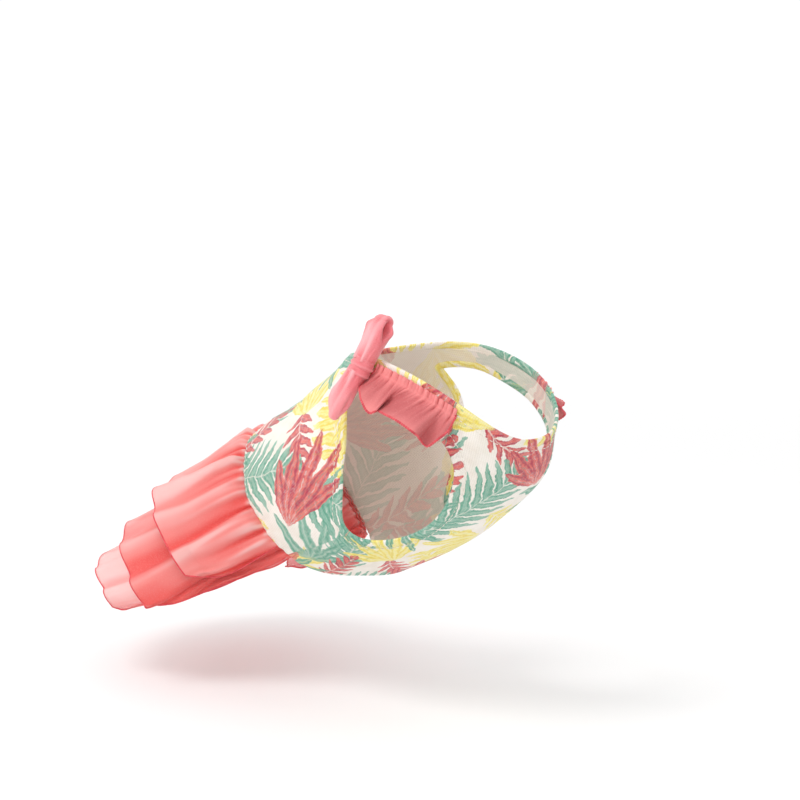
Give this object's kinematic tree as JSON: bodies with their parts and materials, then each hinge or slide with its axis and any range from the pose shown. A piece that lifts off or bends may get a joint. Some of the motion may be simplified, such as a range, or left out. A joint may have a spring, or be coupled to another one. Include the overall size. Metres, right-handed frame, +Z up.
{
  "type": "dog dress",
  "caption": "Small dog's dress as worn: printed knit bodice with leg holes, shoulder ruffles, a bow at the neckline and a gathered tiered chiffon skirt.",
  "frame": {"origin": "inner face of the back panel on the midline at the neckline, where the dress lies on the withers; the dress stands inclined as it does on a sitting dog", "axes": "+Z up, -Y towards the dog's head, +Y towards the tail, +X towards the dog's left side"},
  "size_m": [0.1451, 0.2818, 0.1718],
  "materials": {
    "printed_knit": null,
    "ruffle_jersey": "smooth jersey, dusty coral, darker serged edge",
    "chiffon": "thin coral chiffon with a rolled hem",
    "bow_knit": "brushed coral knit"
  },
  "bodies": {
    "root": {"back_panel": "printed_knit", "chest_panel": "printed_knit", "leg_binding_right": "printed_knit", "leg_binding_left": "printed_knit", "neck_binding": "printed_knit", "shoulder_ruffle_right": "ruffle_jersey", "shoulder_ruffle_left": "ruffle_jersey", "skirt_tier_top": "chiffon", "skirt_tier_middle": "chiffon", "skirt_tier_bottom": "chiffon", "bow_loop_right": "bow_knit", "bow_loop_left": "bow_knit", "bow_knot": "bow_knit"}
  },
  "joints": []
}
